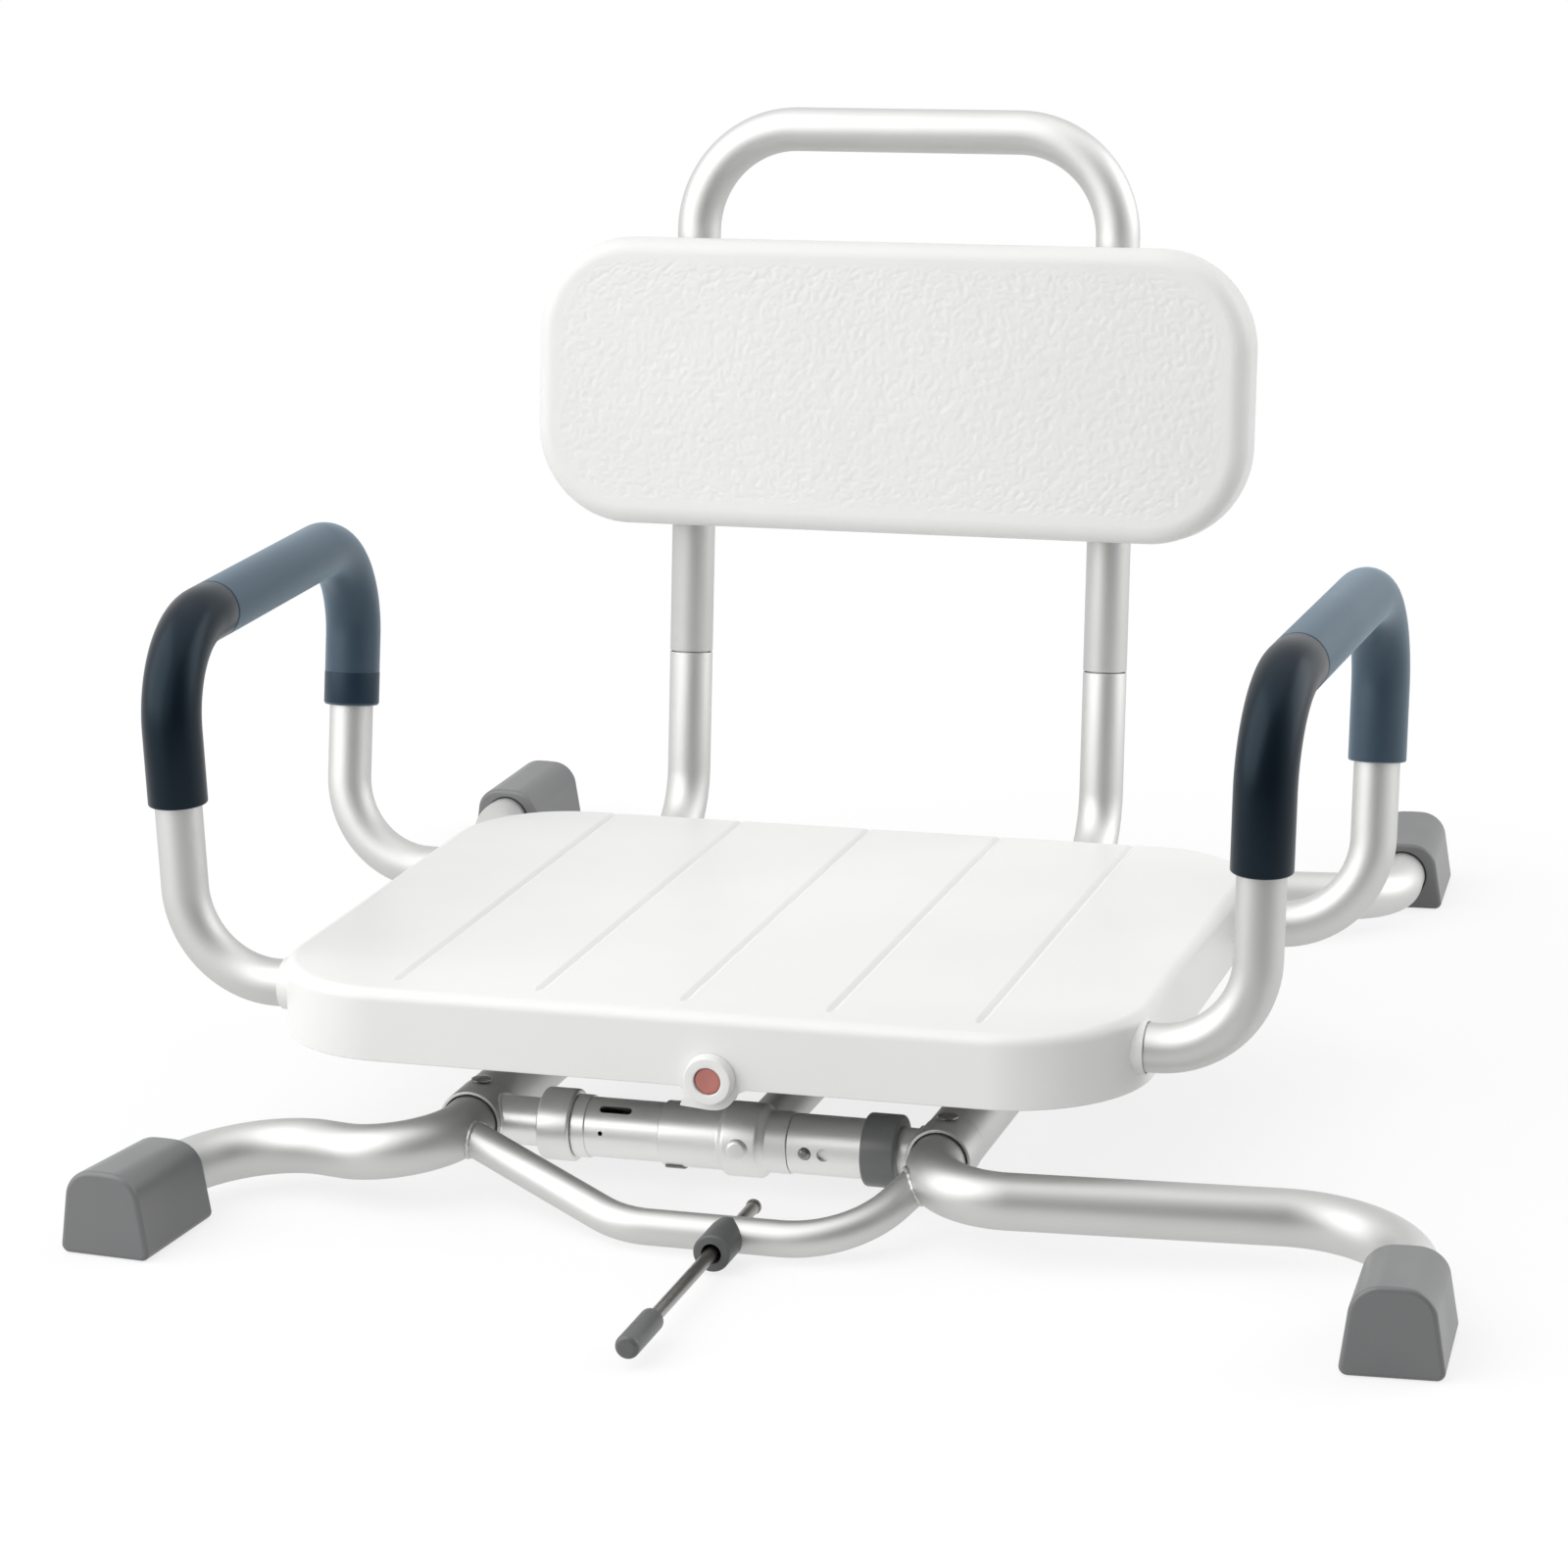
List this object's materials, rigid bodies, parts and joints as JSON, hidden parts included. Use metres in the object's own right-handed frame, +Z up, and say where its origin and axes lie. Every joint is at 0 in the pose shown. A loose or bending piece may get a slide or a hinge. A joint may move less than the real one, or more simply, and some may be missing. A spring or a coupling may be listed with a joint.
{
  "type": "swivel bath seat",
  "caption": "Bath seat that turns on a tubular base laid across a bathtub, with armrests, a slatted seat, a padded-shape backrest and sliding leg frames with rubber feet",
  "frame": {"origin": "on the floor under the middle of the object's box; the swivel axis stands 19 mm to -X and 52 mm to -Y of it", "axes": "+Z up; -Y is the way the sitter faces, which is across the bathtub; +X is the sitter's left"},
  "size_m": [0.6836, 0.8193, 0.4579],
  "materials": {
    "satin_tube": "satin anodised",
    "white_moulding": "satin moulded",
    "glide": "smooth",
    "dark_grip": "matt foam",
    "light_grip": "matt foam",
    "grey_moulding": "matt",
    "cast_alloy": "satin cast",
    "dark_moulding": "matt",
    "plate_steel": "satin grey",
    "bright_steel": "bright",
    "red_button": "gloss"
  },
  "bodies": {
    "chassis": {"left_sleeve": "satin_tube", "right_sleeve": "satin_tube", "base_plate": "plate_steel", "index_plate": "plate_steel", "glide_ring": "glide", "spindle_bolt": "bright_steel", "spindle_nut": "bright_steel", "cross_tube_left": "satin_tube", "cross_tube_right": "satin_tube", "cross_tee": "cast_alloy", "cross_collar_left": "cast_alloy", "cross_collar_right": "dark_moulding", "centre_rail": "satin_tube", "rear_cross_tube": "satin_tube", "tee_cap": "cast_alloy", "snap_spring": "bright_steel", "guide_screw_front_left": "bright_steel", "guide_screw_front_right": "bright_steel", "guide_screw_rear_left": "bright_steel", "guide_screw_rear_right": "bright_steel"},
    "snap": {"cross_button": "bright_steel"},
    "front_frame": {"front_left_leg": "satin_tube", "front_right_leg": "satin_tube", "front_left_foot": "grey_moulding", "front_right_foot": "grey_moulding", "front_spreader": "satin_tube", "front_stop_collar": "grey_moulding"},
    "rear_frame": {"rear_left_leg": "satin_tube", "rear_right_leg": "satin_tube", "rear_left_foot": "grey_moulding", "rear_right_foot": "grey_moulding", "rear_spreader": "satin_tube", "rear_stop_collar": "grey_moulding"},
    "front_stop": {"front_stop_rod": "bright_steel", "front_stop_tip": "grey_moulding"},
    "rear_stop": {"rear_stop_rod": "bright_steel", "rear_stop_tip": "grey_moulding"},
    "seat": {"seat_shell": "white_moulding", "turntable_plate": "plate_steel", "catch_spring": "bright_steel", "catch_screw": "bright_steel", "button_housing": "white_moulding", "button_spring": "bright_steel", "left_arm": "satin_tube", "right_arm": "satin_tube", "left_grip_front": "dark_grip", "left_grip_top": "light_grip", "right_grip_front": "dark_grip", "right_grip_top": "light_grip", "left_post": "satin_tube", "right_post": "satin_tube", "back_hoop": "satin_tube", "back_panel": "white_moulding", "panel_screw_left_low": "bright_steel", "panel_screw_left_high": "bright_steel", "panel_screw_right_low": "bright_steel", "panel_screw_right_high": "bright_steel"},
    "release": {"release_button": "red_button", "push_rod": "bright_steel"}
  },
  "joints": [
    {"name": "seat_swivel", "type": "hinge", "parent": "chassis", "child": "seat", "pos_m": [-0.019, -0.052, 0.055], "axis": [0, 0, 1], "continuous": true, "deforming": ["catch_spring"]},
    {"name": "front_frame_slide", "type": "slide", "parent": "chassis", "child": "front_frame", "axis": [0, -1, 0], "range_m": [0, 0.055]},
    {"name": "rear_frame_slide", "type": "slide", "parent": "chassis", "child": "rear_frame", "axis": [0, 1, 0], "range_m": [-0.08, 0.028]},
    {"name": "front_stop_slide", "type": "slide", "parent": "front_frame", "child": "front_stop", "axis": [0, -1, 0], "range_m": [-0.07, 0.012]},
    {"name": "rear_stop_slide", "type": "slide", "parent": "rear_frame", "child": "rear_stop", "axis": [0, 1, 0], "range_m": [0, 0.096]},
    {"name": "release_press", "type": "slide", "parent": "seat", "child": "release", "axis": [0, 1, 0], "range_m": [0, 0.0035], "stiffness_N_per_m": 400, "springref_m": -0.001, "deforming": ["button_spring"]},
    {"name": "snap_press", "type": "slide", "parent": "chassis", "child": "snap", "axis": [0, 1, 0], "range_m": [0, 0.0022], "stiffness_N_per_m": 800, "springref_m": -0.0005, "deforming": ["snap_spring"]}
  ]
}
